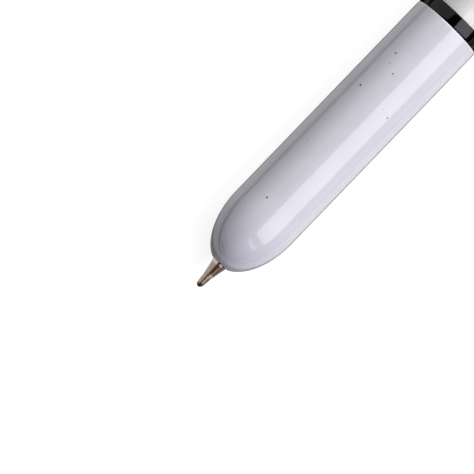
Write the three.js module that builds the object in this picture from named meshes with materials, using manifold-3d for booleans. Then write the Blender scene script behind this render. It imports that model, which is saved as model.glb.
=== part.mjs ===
// A capsule-shaped pocket ballpoint pen that slides open, lying on its side with its point out.
// Lengths are in millimetres. The pen's axis runs along X at the height of the barrel's radius,
// the point faces -X, and the lowest flat of the barrels lies on the plane z = 0.
// Places along the pen are measured from the rim of the nose, towards the back.

import * as THREE from 'three';
import { mergeVertices } from 'three/addons/utils/BufferGeometryUtils.js';
import Module from 'manifold-3d';

const wasm = await Module();
wasm.setup();

// Outside of the pen
const BARREL_RADIUS = 6.25;
const END_ARCH = 10.87; // length over which each end of the capsule rounds off
const FRONT_LENGTH = 53.4;
const RING_LENGTH = 2.25;
const REAR_LENGTH = 36.5; // back barrel with its button
const POINT_LENGTH = 4.9; // how far the point stands out of the nose
const EDGE_CHAMFER = 0.15;
const NOSE_HOLE_RADIUS = 1.49;
const RIM_WIDTH = 0.1; // flat lip round the hole in the nose and round the button

// Movements
const SLIDE_TRAVEL = 26; // the back half slides this far forward to shut the pen
const POINT_TRAVEL = 5.5; // the refill draws back this far meanwhile
const CAM_TURN = Math.PI; // the cam sleeve turns this far meanwhile
const BUTTON_TRAVEL = 2.5;

// Clearances
const RUN_GAP = 0.1; // round what slides or turns
const SEAT_GAP = 0.05; // round what is pressed in and stays
const FACE_GAP = 0.1; // between faces that meet end to end
const STOP_GAP = 0.3; // left at a stop
const GROOVE_GAP = 0.3; // each side of a pin in its slot

// Nested tubes, from the outside in, as shares of the barrel's radius
const FRONT_WALL = 0.104 * BARREL_RADIUS;
const REAR_WALL = 0.2 * BARREL_RADIUS;
const SLIDER_RADIUS = 0.832 * BARREL_RADIUS;
const SLIDER_WALL = 0.072 * BARREL_RADIUS;
const SPIGOT_WALL = 0.072 * BARREL_RADIUS;
const GUIDE_WALL = 0.096 * BARREL_RADIUS;
const CAM_WALL = 0.128 * BARREL_RADIUS;
const BUTTON_RADIUS = 0.68 * BARREL_RADIUS;
const SEAT_BORE_RADIUS = 0.56 * BARREL_RADIUS;
const STEM_RADIUS = 0.528 * BARREL_RADIUS;
const OPEN_SPRING_RADIUS = 0.656 * BARREL_RADIUS; // of the two springs that push the pen open

// Inside of the nose
const NOSE_SEAT = 2.6; // thickness of the nose ahead of the return spring
const NOSE_SEAT_RADIUS = 2.3;
const NOSE_CAVITY_RADIUS = 0.808 * BARREL_RADIUS;
const NOSE_CAVITY_END = 7.5;
const BORE_START = 8.5;

// Dark ring and the soft ring in it
const SPIGOT_LENGTH = 4;
const SOFT_RING_THICKNESS = 0.4;
const SOFT_RING_SIDES = 8;
const SOFT_GROOVE_WIDTH = 0.9;

// Guide sleeve, cam sleeve and what closes them
const GUIDE_NOSE = 0.8; // how far the guide sleeve reaches ahead of its flange
const GUIDE_FRONT_WALL = 1;
const GUIDE_FLANGE = 4;
const PIN_RADIUS = 0.5;
const PIN_EDGE = 0.6; // metal left between a slot and the end of its sleeve
const GROOVE_SPACING = 0.8;
const WASHER_THICKNESS = 0.4;
const CAP_SPIGOT = 1.15;
const CAP_FLANGE = 1.15;

// Slider tube
const TUBE_GRIP = 6; // length held in the back barrel
const DRIVE_RING_FRONT = 1.4; // from the drive ring's front face to its pin

// Refill
const REFILL_RADIUS = 2.1;
const REFILL_WALL = 0.2;
const REFILL_LENGTH = 66;
const CARRIER_LENGTH = 8;
const BALL_RADIUS = 0.45;
const BALL_PLAY = 0.04;
const BALL_SHOWS = 0.25;
const SOCKET_STEPS = 5;
const LIP_RADIUS = 0.49;
const NOZZLE_RADIUS = 0.585;
const NOZZLE_START = 0.8;
const NECK_RADIUS = 0.7;
const NECK_START = 2.24;
const CONE_END_RADIUS = 1.25;
const CONE_END = 4.55;
const SHANK_RADIUS = 1.335;
const INK_DUCT_RADIUS = 0.2;
const INK_BORE_RADIUS = 0.8;
const INK_BORE_START = 3.2;
const SHOULDER_START = 6.9; // front face of the refill's shoulder, behind the nose rim
const SHOULDER_LENGTH = 0.4;
const PLUG_LENGTH = 1;
const PLUG_GRIP = 2.5;
const VENT_RADIUS = 0.3;

// Button and latch
const END_WALL = 2.5;
const BUTTON_FLANGE = 1.6;
const BUTTON_FLANGE_STEP = 0.6;
const STEM_LENGTH = 4.6;
const STEM_BORE_DEPTH = 9.5;
const LATCH_WALL = 0.4;
const HOOK_LENGTH = 0.85;
const HOOK_SHARE = 0.25; // of the room between the latch tube and the guide sleeve
const CATCH_SHARE = 0.64; // the recess that the hooks spring into, of the same room
const HOOK_GAP = 0.15; // round the hooks in the lip that they pass
const FINGER_LENGTH = 14;
const FINGER_SLIT = 1.2;

// Springs
const RETURN_SPRING = { radius: 1.8, wire: 0.2, turns: 4 };
const MAIN_SPRING = { radius: OPEN_SPRING_RADIUS, wire: 0.3, turns: 14 };
const BUTTON_SPRING = { radius: OPEN_SPRING_RADIUS, wire: 0.25, turns: 4 };
const BUTTON_SPRING_PRESSED = 3.5; // its length when the button is pressed
const SPRING_STEPS = 8; // steps a curl
const WIRE_SIDES = 5;

// Facets round each kind of turned piece
const SHELL_SIDES = 32;
const INNER_SIDES = 24;
const SMALL_SIDES = 16;
const ARCH_STEPS = 9;

// Radii that follow from the nesting
const boreRadius = BARREL_RADIUS - FRONT_WALL;
const spigotBore = SLIDER_RADIUS + RUN_GAP;
const spigotRadius = spigotBore + SPIGOT_WALL;
const sliderBore = SLIDER_RADIUS - SLIDER_WALL;
const guideRadius = sliderBore - RUN_GAP;
const guideBore = guideRadius - GUIDE_WALL;
const camRadius = guideBore - RUN_GAP;
const camBore = camRadius - CAM_WALL;
const carrierRadius = camBore - RUN_GAP;
const carrierBore = REFILL_RADIUS + SEAT_GAP;
const driveRingRadius = boreRadius - RUN_GAP;
const rearBore = BARREL_RADIUS - REAR_WALL;
const latchBore = REFILL_RADIUS + RUN_GAP + SEAT_GAP;
const latchRadius = latchBore + LATCH_WALL;
const latchRoom = guideBore - latchRadius;
const hookRadius = latchRadius + HOOK_SHARE * latchRoom;
const capLipRadius = hookRadius + HOOK_GAP;
const capRecessRadius = latchRadius + CATCH_SHARE * latchRoom;
const buttonHole = BUTTON_RADIUS + RUN_GAP;

// Places along the pen, from the rim of the nose
const frontEnd = FRONT_LENGTH;
const ringEnd = frontEnd + RING_LENGTH;
const rearStart = ringEnd + SLIDE_TRAVEL + FACE_GAP;
const penEnd = rearStart + REAR_LENGTH;
const guideStart = BORE_START - GUIDE_NOSE;
const camStart = guideStart + GUIDE_FRONT_WALL + 2 * FACE_GAP;
const slotMargin = PIN_RADIUS + GROOVE_GAP;
const carrierStart = camStart + FACE_GAP;
const carrierPin = camStart + PIN_EDGE + slotMargin;
const drivePinShut = carrierPin + POINT_TRAVEL + GROOVE_SPACING;
const drivePin = drivePinShut + SLIDE_TRAVEL;
const camEnd = drivePin + slotMargin + PIN_EDGE;
const washerStart = camEnd + FACE_GAP;
const capStart = washerStart + WASHER_THICKNESS + FACE_GAP;
const guideEnd = capStart + CAP_SPIGOT;
const capEnd = guideEnd + CAP_FLANGE;
const driveRingStart = drivePin - DRIVE_RING_FRONT;
const sliderStart = drivePin + DRIVE_RING_FRONT + FACE_GAP;
const driveRingEnd = frontEnd - SPIGOT_LENGTH - STOP_GAP;
const sliderEnd = rearStart + TUBE_GRIP;
const refillTubeStart = SHOULDER_START + SHOULDER_LENGTH + SEAT_GAP;
const refillEnd = REFILL_LENGTH - POINT_LENGTH - PLUG_LENGTH;
const archReach = (radius) => END_ARCH * Math.sqrt(1 - (radius / BARREL_RADIUS) ** 2);
const noseRim = NOSE_HOLE_RADIUS + RIM_WIDTH;
const noseArchStart = archReach(noseRim);
const rearArchStart = penEnd - END_ARCH;
const buttonRim = buttonHole + RIM_WIDTH;
const rearEnd = rearArchStart + archReach(buttonRim);
const endShoulder = rearEnd - END_WALL;
const flangeEnd = endShoulder - 2 * FACE_GAP;
const flangeStart = flangeEnd - BUTTON_FLANGE;
const stemStart = flangeStart - STEM_LENGTH;
const springSeatStart = sliderEnd + 2 * FACE_GAP;
const buttonSpringLength = BUTTON_SPRING_PRESSED + BUTTON_TRAVEL;
const springSeatEnd = flangeStart - buttonSpringLength;
const latchStart = guideEnd - FACE_GAP - HOOK_LENGTH + SLIDE_TRAVEL;

// Finishes
const finish = (color, roughness, metalness) =>
  new THREE.MeshStandardMaterial({ color, roughness, metalness });
const whiteLacquer = finish(0xdcdbe4, 0.2, 0);
const blackGloss = finish(0x0c0c0e, 0.15, 0);
const softBlack = finish(0x1a1a1c, 0.8, 0);
const satinSilver = finish(0xc9c9cb, 0.35, 1);
const nickelSilver = finish(0xb59f8c, 0.3, 1);
const springSteel = finish(0xa8a9ab, 0.35, 1);
const greyPlastic = finish(0x77787c, 0.55, 0);
const carbide = finish(0x4a4a4c, 0.25, 1);
const brass = finish(0xb08d4c, 0.35, 1);

// Turns an outline of [radius, x] points about the X axis. The outline closes on itself, or
// starts and ends on the axis. The radii are those of the flats between the corners, and one
// flat faces straight down.
function turned(outline, sides) {
  const toCorner = 1 / Math.cos(Math.PI / sides);
  const points = outline.map(([radius, x]) => new THREE.Vector2(radius * toCorner, x));
  if (THREE.ShapeUtils.area(points) < 0) points.reverse();
  if (points[0].x > 0) points.push(points[0].clone());
  const geometry = new THREE.LatheGeometry(points, sides, Math.PI / sides);
  return geometry.rotateZ(-Math.PI / 2);
}

// An outline for a plain tube that starts at x = 0.
const tubeOutline = (inner, outer, length) => [
  [inner, 0], [outer, 0], [outer, length], [inner, length],
];

// Points on the rounded end of the capsule, from one radius to another. Its widest section is
// at x = 0 and it closes towards -x (direction -1) or +x (direction 1).
function archPoints(fromRadius, toRadius, direction, steps = ARCH_STEPS) {
  const from = Math.asin(fromRadius / BARREL_RADIUS);
  const to = Math.asin(toRadius / BARREL_RADIUS);
  return Array.from({ length: steps + 1 }, (_, i) => {
    const angle = from + ((to - from) * i) / steps;
    return [BARREL_RADIUS * Math.sin(angle), direction * END_ARCH * Math.cos(angle)];
  });
}

const shifted = (outline, dx) => outline.map(([radius, x]) => [radius, x + dx]);

// A closed solid from its corners and triangles, with the faces turned outwards.
function closedGeometry(points, faces) {
  const corners = points.map((point) => new THREE.Vector3(...point));
  const volume = faces.reduce((sum, [a, b, c]) =>
    sum + corners[a].dot(new THREE.Vector3().crossVectors(corners[b], corners[c])), 0);
  const outward = volume > 0 ? faces : faces.map(([a, b, c]) => [a, c, b]);
  const geometry = new THREE.BufferGeometry();
  geometry.setAttribute('position', new THREE.Float32BufferAttribute(points.flat(), 3));
  geometry.setIndex(outward.flat());
  return geometry;
}

// A wire wound round X as one unbroken tube, from one end of the spring to the other.
function coil(name, spring, length) {
  const steps = spring.turns * SPRING_STEPS;
  const run = length - 2 * spring.wire;
  const points = [];
  const centres = [];
  for (let i = 0; i <= steps; i += 1) {
    const angle = (2 * Math.PI * i) / SPRING_STEPS;
    const outward = new THREE.Vector3(0, Math.sin(angle), Math.cos(angle));
    const along = new THREE.Vector3(
      run / steps,
      (2 * Math.PI * spring.radius * Math.cos(angle)) / SPRING_STEPS,
      (-2 * Math.PI * spring.radius * Math.sin(angle)) / SPRING_STEPS,
    ).normalize();
    const across = new THREE.Vector3().crossVectors(along, outward);
    const centre = outward.clone().multiplyScalar(spring.radius);
    centre.x = spring.wire + (run * i) / steps;
    centres.push(centre);
    for (let k = 0; k < WIRE_SIDES; k += 1) {
      const turn = (2 * Math.PI * k) / WIRE_SIDES;
      const point = centre.clone()
        .addScaledVector(outward, spring.wire * Math.cos(turn))
        .addScaledVector(across, spring.wire * Math.sin(turn));
      points.push(point.toArray());
    }
  }
  printLeastGap(name, centres, spring.wire);
  return closedGeometry(points, tubeFaces(steps, WIRE_SIDES));
}

// Faces of a tube of rings of corners, with a fan over each end.
function tubeFaces(steps, sides) {
  const faces = [];
  for (let i = 0; i < steps; i += 1) {
    for (let k = 0; k < sides; k += 1) {
      const a = i * sides + k;
      const b = i * sides + ((k + 1) % sides);
      faces.push([a, a + sides, b], [b, a + sides, b + sides]);
    }
  }
  const last = steps * sides;
  for (let k = 1; k < sides - 1; k += 1) {
    faces.push([0, k, k + 1], [last, last + k + 1, last + k]);
  }
  return faces;
}

// Measures on the wire's centre line how near two curls come, and prints it.
function printLeastGap(name, centres, wire) {
  let least = Infinity;
  for (let i = 0; i < centres.length; i += 1) {
    for (let j = i + SPRING_STEPS / 2; j < centres.length; j += 1) {
      least = Math.min(least, centres[i].distanceTo(centres[j]) - 2 * wire);
    }
  }
  console.log(`${name}: least gap between curls ${least.toFixed(2)} mm`);
}

function toSolid(geometry) {
  const bare = geometry.clone();
  bare.deleteAttribute('normal');
  bare.deleteAttribute('uv');
  const merged = mergeVertices(bare, 1e-4);
  return new wasm.Manifold(new wasm.Mesh({
    numProp: 3,
    vertProperties: new Float32Array(merged.attributes.position.array),
    triVerts: new Uint32Array(merged.index.array),
  }));
}

function toGeometry(solid) {
  const { vertProperties, triVerts } = solid.getMesh();
  const geometry = new THREE.BufferGeometry();
  geometry.setAttribute('position', new THREE.BufferAttribute(vertProperties, 3));
  geometry.setIndex(new THREE.BufferAttribute(triVerts, 1));
  geometry.computeVertexNormals();
  return geometry;
}

const cut = (geometry, ...cutters) =>
  toGeometry(cutters.reduce((solid, cutter) => solid.subtract(toSolid(cutter)), toSolid(geometry)));

// A pin along Z between two distances from the axis, above it (side 1) or below it (side -1).
function radialPin(radius, from, to, x, side) {
  const pin = new THREE.CylinderGeometry(radius, radius, to - from, SMALL_SIDES);
  return pin.rotateX(Math.PI / 2).translate(x, 0, (side * (from + to)) / 2);
}

// A straight slot along the axis, above it or below it.
function straightSlot(fromX, toX, halfWidth, from, to, side) {
  const slot = new THREE.BoxGeometry(toX - fromX, 2 * halfWidth, to - from);
  return slot.translate((fromX + toX) / 2, 0, (side * (from + to)) / 2);
}

// A slot of even width through a sleeve's wall that winds from one place to another.
// Angles are about X, from +Z towards -Y, as the pin in the slot sees them.
function windingSlot(start, end, halfWidth, inner, outer, steps) {
  const middle = (inner + outer) / 2;
  const arc = (end.angle - start.angle) * middle;
  const rise = end.x - start.x;
  const path = Math.hypot(arc, rise);
  const [unitArc, unitRise] = [arc / path, rise / path];
  const points = [];
  for (let i = 0; i <= steps; i += 1) {
    const along = -halfWidth + ((path + 2 * halfWidth) * i) / steps;
    for (const [side, radius] of [[-1, inner], [1, inner], [1, outer], [-1, outer]]) {
      const place = start.angle * middle + along * unitArc - side * halfWidth * unitRise;
      const angle = place / middle;
      const x = start.x + along * unitRise + side * halfWidth * unitArc;
      points.push([x, -radius * Math.sin(angle), radius * Math.cos(angle)]);
    }
  }
  return closedGeometry(points, tubeFaces(steps, 4));
}

// The lacquered front barrel, from the rounded nose to the dark ring.
function frontBarrel() {
  const counterbore = spigotRadius + SEAT_GAP;
  return turned([
    [NOSE_HOLE_RADIUS, 0],
    ...shifted(archPoints(noseRim, BARREL_RADIUS, -1), noseArchStart),
    [BARREL_RADIUS, frontEnd - EDGE_CHAMFER],
    [BARREL_RADIUS - EDGE_CHAMFER, frontEnd],
    [counterbore, frontEnd],
    [counterbore, frontEnd - SPIGOT_LENGTH - FACE_GAP],
    [boreRadius, frontEnd - SPIGOT_LENGTH - FACE_GAP],
    [boreRadius, BORE_START],
    [NOSE_CAVITY_RADIUS, BORE_START],
    [NOSE_CAVITY_RADIUS, NOSE_CAVITY_END],
    [NOSE_SEAT_RADIUS, NOSE_SEAT],
    [NOSE_HOLE_RADIUS, NOSE_SEAT],
  ], SHELL_SIDES);
}

// The dark ring, with a spigot in the front barrel and a groove inside for the soft ring.
function centreRing() {
  const grooveStart = (RING_LENGTH - SOFT_GROOVE_WIDTH) / 2;
  const grooveEnd = grooveStart + SOFT_GROOVE_WIDTH;
  const grooveRadius = spigotBore + SPIGOT_WALL;
  return turned([
    [spigotBore, -SPIGOT_LENGTH],
    [spigotRadius, -SPIGOT_LENGTH],
    [spigotRadius, FACE_GAP],
    [BARREL_RADIUS - EDGE_CHAMFER, FACE_GAP],
    [BARREL_RADIUS, FACE_GAP + EDGE_CHAMFER],
    [BARREL_RADIUS, RING_LENGTH - EDGE_CHAMFER],
    [BARREL_RADIUS - EDGE_CHAMFER, RING_LENGTH],
    [spigotBore, RING_LENGTH],
    [spigotBore, grooveEnd],
    [grooveRadius, grooveEnd],
    [grooveRadius, grooveStart],
    [spigotBore, grooveStart],
  ], SHELL_SIDES);
}

// The soft ring that rubs on the slider tube so that it runs smoothly.
function softRing() {
  const radius = SOFT_RING_THICKNESS / 2;
  const middle = SLIDER_RADIUS + SEAT_GAP + radius;
  const outline = Array.from({ length: SOFT_RING_SIDES }, (_, i) => {
    const angle = (Math.PI * (2 * i + 1)) / SOFT_RING_SIDES;
    return [middle + radius * Math.cos(angle), radius * Math.sin(angle)];
  });
  return turned(outline, SHELL_SIDES);
}

// The fixed guide sleeve. Its flange sits in the front barrel, and two straight slots keep the
// drive pin (above) and the carrier pin (below) from turning.
function guideSleeve() {
  const start = guideStart;
  const body = turned([
    [carrierRadius, 0],
    [guideRadius, 0],
    [guideRadius, BORE_START + FACE_GAP - start],
    [boreRadius - SEAT_GAP, BORE_START + FACE_GAP - start],
    [boreRadius - SEAT_GAP, BORE_START + GUIDE_FLANGE - start],
    [guideRadius, BORE_START + GUIDE_FLANGE - start],
    [guideRadius, guideEnd - start],
    [guideBore, guideEnd - start],
    [guideBore, GUIDE_FRONT_WALL],
    [carrierRadius, GUIDE_FRONT_WALL],
  ], SHELL_SIDES);
  const inner = guideBore - GUIDE_WALL / 2;
  const driveSlot = straightSlot(drivePinShut - slotMargin - start, drivePin + slotMargin - start,
    slotMargin, inner, guideRadius + GUIDE_WALL, 1);
  const carrierSlot = straightSlot(carrierPin - slotMargin - start,
    carrierPin + POINT_TRAVEL + slotMargin - start, slotMargin, inner,
    guideRadius + RUN_GAP, -1);
  return cut(body, driveSlot, carrierSlot);
}

// The cap that closes the guide sleeve, carries the main spring and has the latch's lip.
function sleeveCap() {
  return turned([
    [capRecessRadius, 0],
    [guideBore - SEAT_GAP, 0],
    [guideBore - SEAT_GAP, CAP_SPIGOT + FACE_GAP],
    [guideRadius, CAP_SPIGOT + FACE_GAP],
    [guideRadius, CAP_SPIGOT + CAP_FLANGE],
    [capLipRadius, CAP_SPIGOT + CAP_FLANGE],
    [capLipRadius, CAP_SPIGOT],
    [capRecessRadius, CAP_SPIGOT],
  ], SHELL_SIDES);
}

const thrustWasher = () => turned(
  tubeOutline(camBore + SEAT_GAP, camRadius, WASHER_THICKNESS),
  INNER_SIDES,
);

// The turning cam sleeve. A steep winding slot follows the drive pin, and a shallow one on the
// other side draws the carrier pin back.
function camSleeve() {
  const body = turned(tubeOutline(camBore, camRadius, camEnd - camStart), INNER_SIDES);
  const inner = camBore - CAM_WALL / 2;
  const outer = camRadius + CAM_WALL / 2;
  const steep = windingSlot(
    { x: drivePin - camStart, angle: 0 },
    { x: drivePinShut - camStart, angle: CAM_TURN },
    slotMargin, inner, outer, 24,
  );
  const shallow = windingSlot(
    { x: carrierPin - camStart, angle: Math.PI },
    { x: carrierPin + POINT_TRAVEL - camStart, angle: Math.PI + CAM_TURN },
    slotMargin, inner, outer, 18,
  );
  return cut(body, steep, shallow);
}

// The silver tube that shows while the pen is open.
const sliderTube = () => turned(
  tubeOutline(sliderBore, SLIDER_RADIUS, sliderEnd - sliderStart),
  SHELL_SIDES,
);

// The ring on the slider tube's front end. It runs in the front barrel, holds the drive pin and
// stops against the spigot of the dark ring when the pen is open.
function driveRing() {
  const start = driveRingStart;
  const socket = SLIDER_RADIUS + SEAT_GAP;
  const body = turned([
    [sliderBore, 0],
    [driveRingRadius, 0],
    [driveRingRadius, driveRingEnd - start],
    [socket, driveRingEnd - start],
    [socket, sliderStart - FACE_GAP - start],
    [sliderBore, sliderStart - FACE_GAP - start],
  ], SHELL_SIDES);
  const hole = radialPin(PIN_RADIUS + SEAT_GAP, sliderBore - 1, driveRingRadius + 1,
    DRIVE_RING_FRONT, 1);
  return cut(body, hole);
}

const drivePinShape = () => radialPin(PIN_RADIUS, camBore + RUN_GAP, driveRingRadius - RUN_GAP, 0, 1);

// The carrier that grips the refill inside the cam sleeve.
function refillCarrier() {
  const body = turned(tubeOutline(carrierBore, carrierRadius, CARRIER_LENGTH), INNER_SIDES);
  const hole = radialPin(PIN_RADIUS + SEAT_GAP, carrierBore - 0.5, carrierRadius + 1,
    carrierPin - carrierStart, -1);
  return cut(body, hole);
}

const carrierPinShape = () =>
  radialPin(PIN_RADIUS, carrierBore + 2 * RUN_GAP, guideRadius - RUN_GAP, 0, -1);

// The refill's metal point, with the ball's socket at its front and a collar in the tube.
// Its own x = 0 is the front of the ball.
function refillTip() {
  const socketRadius = BALL_RADIUS + BALL_PLAY;
  const lipX = BALL_SHOWS;
  const lipAngle = Math.acos((BALL_RADIUS - lipX) / socketRadius);
  const ductAngle = Math.PI - Math.asin(INK_DUCT_RADIUS / socketRadius);
  const socket = Array.from({ length: SOCKET_STEPS + 1 }, (_, i) => {
    const angle = ductAngle + ((lipAngle - ductAngle) * i) / SOCKET_STEPS;
    return [socketRadius * Math.sin(angle), BALL_RADIUS - socketRadius * Math.cos(angle)];
  });
  const shoulder = POINT_LENGTH + SHOULDER_START;
  const collarRadius = REFILL_RADIUS - REFILL_WALL - SEAT_GAP;
  const collarEnd = shoulder + SHOULDER_LENGTH + PLUG_GRIP;
  return turned([
    ...socket,
    [LIP_RADIUS, lipX],
    [NOZZLE_RADIUS, NOZZLE_START],
    [NECK_RADIUS, NECK_START],
    [CONE_END_RADIUS, CONE_END],
    [SHANK_RADIUS, CONE_END + FACE_GAP],
    [SHANK_RADIUS, shoulder],
    [REFILL_RADIUS, shoulder],
    [REFILL_RADIUS, shoulder + SHOULDER_LENGTH],
    [collarRadius, shoulder + SHOULDER_LENGTH],
    [collarRadius, collarEnd],
    [INK_BORE_RADIUS, collarEnd],
    [INK_BORE_RADIUS, INK_BORE_START],
    [INK_DUCT_RADIUS, INK_BORE_START],
  ], SMALL_SIDES);
}

const tipBall = () => new THREE.SphereGeometry(BALL_RADIUS, SMALL_SIDES, 10).rotateZ(Math.PI / 2);

const refillTube = () => turned(
  tubeOutline(REFILL_RADIUS - REFILL_WALL, REFILL_RADIUS, refillEnd - refillTubeStart),
  INNER_SIDES,
);

// The vented plug in the back end of the refill.
function refillPlug() {
  const gripRadius = REFILL_RADIUS - REFILL_WALL - SEAT_GAP;
  return turned([
    [VENT_RADIUS, -PLUG_GRIP],
    [gripRadius, -PLUG_GRIP],
    [gripRadius, FACE_GAP],
    [REFILL_RADIUS, FACE_GAP],
    [REFILL_RADIUS, PLUG_LENGTH],
    [VENT_RADIUS, PLUG_LENGTH],
  ], INNER_SIDES);
}

// The lacquered back barrel, with a seat for the slider tube and a hole for the button.
function rearBarrel() {
  const start = rearStart;
  const socket = SLIDER_RADIUS + SEAT_GAP;
  const end = rearEnd - start;
  return turned([
    [socket, 0],
    [BARREL_RADIUS - EDGE_CHAMFER, 0],
    [BARREL_RADIUS, EDGE_CHAMFER],
    ...shifted(archPoints(BARREL_RADIUS, buttonRim, 1), rearArchStart - start),
    [buttonHole, end],
    [buttonHole, endShoulder - start],
    [rearBore, endShoulder - start],
    [rearBore, sliderEnd + FACE_GAP - start],
    [socket, sliderEnd + FACE_GAP - start],
  ], SHELL_SIDES);
}

// The fixed sleeve in the back barrel that both springs bear on.
const springSeat = () => turned(
  tubeOutline(SEAT_BORE_RADIUS, rearBore - SEAT_GAP, springSeatEnd - springSeatStart),
  SHELL_SIDES,
);

// The button, whose face completes the capsule's end. Its stem holds the latch tube.
function pushButton() {
  const start = stemStart;
  const face = shifted(archPoints(BUTTON_RADIUS, 0, 1, 6), rearArchStart - start);
  const flangeRadius = BUTTON_RADIUS + BUTTON_FLANGE_STEP;
  const stemBore = latchRadius + SEAT_GAP;
  return turned([
    [0, STEM_BORE_DEPTH],
    [stemBore, STEM_BORE_DEPTH],
    [stemBore, 0],
    [STEM_RADIUS, 0],
    [STEM_RADIUS, flangeStart - start],
    [flangeRadius, flangeStart - start],
    [flangeRadius, flangeEnd - start],
    [BUTTON_RADIUS, flangeEnd - start],
    ...face,
  ], SHELL_SIDES);
}

// The latch tube. Two sprung fingers at its front end have hooks, drawn pressed in.
function latchTube() {
  const length = stemStart + STEM_BORE_DEPTH - latchStart - STOP_GAP;
  const body = turned([
    [latchBore, 0],
    [hookRadius, 0],
    [hookRadius, HOOK_LENGTH],
    [latchRadius, HOOK_LENGTH],
    [latchRadius, length],
    [latchBore, length],
  ], INNER_SIDES);
  const slit = new THREE.BoxGeometry(2 * FINGER_LENGTH, 3 * hookRadius, FINGER_SLIT);
  return cut(body, slit);
}

function piece(name, geometry, material, x) {
  const mesh = new THREE.Mesh(geometry, material);
  mesh.name = name;
  mesh.position.x = x;
  return mesh;
}

const half = (...pieces) => new THREE.Group().add(...pieces);

const frontHalf = half(
  piece('front_barrel', frontBarrel(), whiteLacquer, 0),
  piece('centre_ring', centreRing(), blackGloss, frontEnd),
  piece('soft_ring', softRing(), softBlack, frontEnd + RING_LENGTH / 2),
  piece('guide_sleeve', guideSleeve(), greyPlastic, guideStart),
  piece('sleeve_cap', sleeveCap(), greyPlastic, capStart),
  piece('thrust_washer', thrustWasher(), springSteel, washerStart),
);

const cam = half(piece('cam_sleeve', camSleeve(), brass, camStart));

const returnSpringLength = SHOULDER_START - NOSE_SEAT - FACE_GAP;
const refill = half(
  piece('refill_tip', refillTip(), nickelSilver, -POINT_LENGTH),
  piece('tip_ball', tipBall(), carbide, BALL_RADIUS - POINT_LENGTH),
  piece('refill_tube', refillTube(), satinSilver, refillTubeStart),
  piece('refill_plug', refillPlug(), greyPlastic, refillEnd),
  piece('refill_carrier', refillCarrier(), greyPlastic, carrierStart),
  piece('carrier_pin', carrierPinShape(), springSteel, carrierPin),
  piece('return_spring', coil('return_spring', RETURN_SPRING, returnSpringLength), springSteel,
    NOSE_SEAT + FACE_GAP / 2),
);

const mainSpringLength = springSeatStart - capEnd - FACE_GAP;
const backHalf = half(
  piece('slider_tube', sliderTube(), satinSilver, sliderStart),
  piece('drive_ring', driveRing(), greyPlastic, driveRingStart),
  piece('drive_pin', drivePinShape(), springSteel, drivePin),
  piece('rear_barrel', rearBarrel(), whiteLacquer, rearStart),
  piece('spring_seat', springSeat(), greyPlastic, springSeatStart),
  piece('main_spring', coil('main_spring', MAIN_SPRING, mainSpringLength), springSteel,
    capEnd + FACE_GAP / 2),
);

const button = half(
  piece('push_button', pushButton(), whiteLacquer, stemStart),
  piece('latch_tube', latchTube(), springSteel, latchStart),
  piece('button_spring', coil('button_spring', BUTTON_SPRING, buttonSpringLength - FACE_GAP),
    springSteel, springSeatEnd + FACE_GAP / 2),
);

const pen = new THREE.Group();
pen.add(frontHalf, cam, refill, backHalf, button);
pen.position.set((POINT_LENGTH - penEnd) / 2, 0, BARREL_RADIUS);

export default pen;
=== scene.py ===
import math

import bpy
from mathutils import Matrix, Vector


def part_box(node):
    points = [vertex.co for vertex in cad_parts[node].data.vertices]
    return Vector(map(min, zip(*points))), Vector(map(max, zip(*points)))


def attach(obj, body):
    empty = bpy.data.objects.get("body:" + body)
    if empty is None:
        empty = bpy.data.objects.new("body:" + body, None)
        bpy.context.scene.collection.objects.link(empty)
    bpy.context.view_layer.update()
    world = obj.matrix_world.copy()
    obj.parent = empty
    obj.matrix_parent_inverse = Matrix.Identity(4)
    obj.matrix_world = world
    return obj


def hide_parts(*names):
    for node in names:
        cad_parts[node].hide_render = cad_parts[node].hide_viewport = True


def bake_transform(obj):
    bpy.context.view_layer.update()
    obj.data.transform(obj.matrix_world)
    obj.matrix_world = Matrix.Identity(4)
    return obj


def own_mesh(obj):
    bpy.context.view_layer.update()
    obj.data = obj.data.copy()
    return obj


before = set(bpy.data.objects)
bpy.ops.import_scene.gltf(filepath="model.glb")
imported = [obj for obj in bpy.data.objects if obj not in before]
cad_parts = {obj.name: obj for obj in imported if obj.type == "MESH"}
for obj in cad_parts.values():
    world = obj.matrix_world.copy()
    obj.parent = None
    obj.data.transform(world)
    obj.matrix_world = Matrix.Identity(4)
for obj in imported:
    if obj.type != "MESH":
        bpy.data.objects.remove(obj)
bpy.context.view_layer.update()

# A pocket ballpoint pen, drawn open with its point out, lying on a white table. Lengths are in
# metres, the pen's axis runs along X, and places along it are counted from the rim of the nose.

# The pen's axis and the places that the frame gives
NOSE_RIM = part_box("front_barrel")[0].x
AXIS_HEIGHT = sum(corner.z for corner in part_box("front_barrel")) / 2
BARREL_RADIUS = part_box("front_barrel")[1].y
FRONT_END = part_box("front_barrel")[1].x - NOSE_RIM
RING_FRONT, RING_BACK = (corner.x - NOSE_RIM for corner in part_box("centre_ring"))
TUBE_FRONT, TUBE_BACK = (corner.x - NOSE_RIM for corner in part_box("slider_tube"))
REAR_FRONT, REAR_BACK = (corner.x - NOSE_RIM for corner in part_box("rear_barrel"))
BUTTON_FRONT, BUTTON_BACK = (corner.x - NOSE_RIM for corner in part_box("push_button"))
POINT_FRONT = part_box("tip_ball")[0].x - NOSE_RIM
POINT_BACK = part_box("refill_tip")[1].x - NOSE_RIM
SLIDER_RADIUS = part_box("slider_tube")[1].y
STEM_ROOT_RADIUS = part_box("push_button")[1].y

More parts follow.
